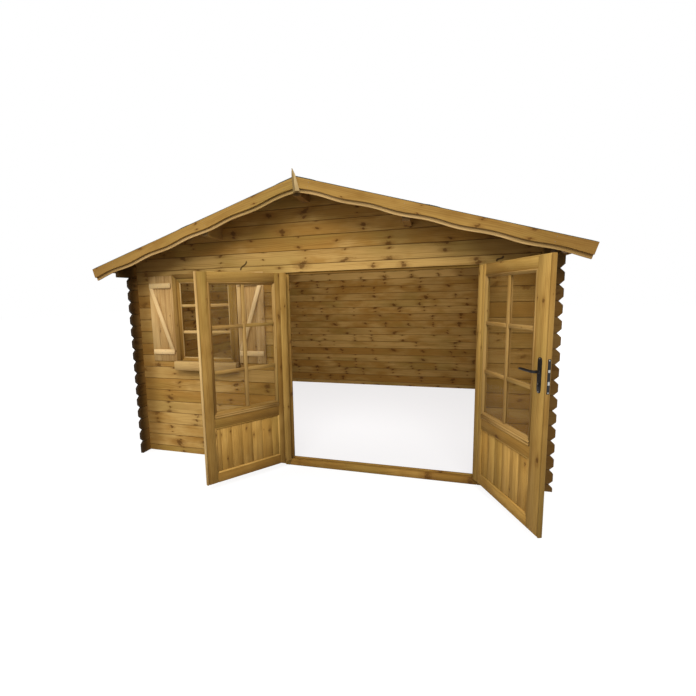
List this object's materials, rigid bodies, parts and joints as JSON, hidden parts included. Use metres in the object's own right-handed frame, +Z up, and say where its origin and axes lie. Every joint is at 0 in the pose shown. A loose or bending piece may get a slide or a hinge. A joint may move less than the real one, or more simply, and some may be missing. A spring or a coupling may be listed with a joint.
{
  "type": "wooden garden shed",
  "caption": "Log-cabin style wooden garden shed with notched log walls, felted gable roof, wavy bargeboards, half-glazed double doors and a shuttered window.",
  "frame": {"origin": "ground level, on the middle plane of the front wall's logs, halfway along the front; it lies on the underside of the door threshold", "axes": "+X along the front to the right as seen from outside, +Y into the building, +Z up"},
  "size_m": [4.1118, 4.5417, 2.5301],
  "materials": {
    "wall_logs": "sawn, pressure treated",
    "purlins": "sawn",
    "roof_boards": "sawn",
    "roofing_felt": "mineral surfaced, rough",
    "bargeboards": "planed",
    "pale_trim": "planed",
    "door_frame": "planed",
    "door_leaves": "planed",
    "window_joinery": "planed",
    "shutters": "planed",
    "glazing": "clear",
    "hinges": "satin",
    "handles": "satin black",
    "lock_plate": "satin black"
  },
  "bodies": {
    "shed": {"front_wall_left": "wall_logs", "front_wall_right": "wall_logs", "front_gable": "wall_logs", "back_wall": "wall_logs", "back_gable": "wall_logs", "left_wall": "wall_logs", "right_wall": "wall_logs", "left_eave_log": "wall_logs", "right_eave_log": "wall_logs", "ridge_purlin": "purlins", "left_purlin": "purlins", "right_purlin": "purlins", "left_roof_boards": "roof_boards", "right_roof_boards": "roof_boards", "roof_felt": "roofing_felt", "front_bargeboards": "bargeboards", "back_bargeboards": "bargeboards", "front_lip_strips": "pale_trim", "back_lip_strips": "pale_trim", "front_finial": "pale_trim", "back_finial": "pale_trim", "eave_fascias": "bargeboards", "door_posts": "door_frame", "door_head": "door_frame", "door_stops": "door_frame", "door_threshold": "door_frame", "post_hinge_flaps": "hinges", "window_frame": "window_joinery", "window_sash": "window_joinery", "window_glass": "glazing", "window_sill_board": "shutters", "left_shutter": "shutters", "right_shutter": "shutters"},
    "left_leaf": {"left_leaf_frame": "door_leaves", "left_leaf_panel": "door_leaves", "left_leaf_beads": "door_leaves", "left_leaf_glass": "glazing", "left_leaf_hinge_flaps": "hinges"},
    "right_leaf": {"right_leaf_frame": "door_leaves", "right_leaf_panel": "door_leaves", "right_leaf_beads": "door_leaves", "right_leaf_glass": "glazing", "right_leaf_hinge_flaps": "hinges", "door_handles": "handles", "lock_faceplate": "lock_plate"}
  },
  "joints": [
    {"name": "left_leaf_hinge", "type": "hinge", "parent": "shed", "child": "left_leaf", "pos_m": [-0.2155, -0.0385, 0.9], "axis": [0, 0, -1], "range_deg": [-126.8, 23.2]},
    {"name": "right_leaf_hinge", "type": "hinge", "parent": "shed", "child": "right_leaf", "pos_m": [1.3945, -0.0385, 0.9], "axis": [0, 0, 1], "range_deg": [-112.6, 37.4]}
  ]
}
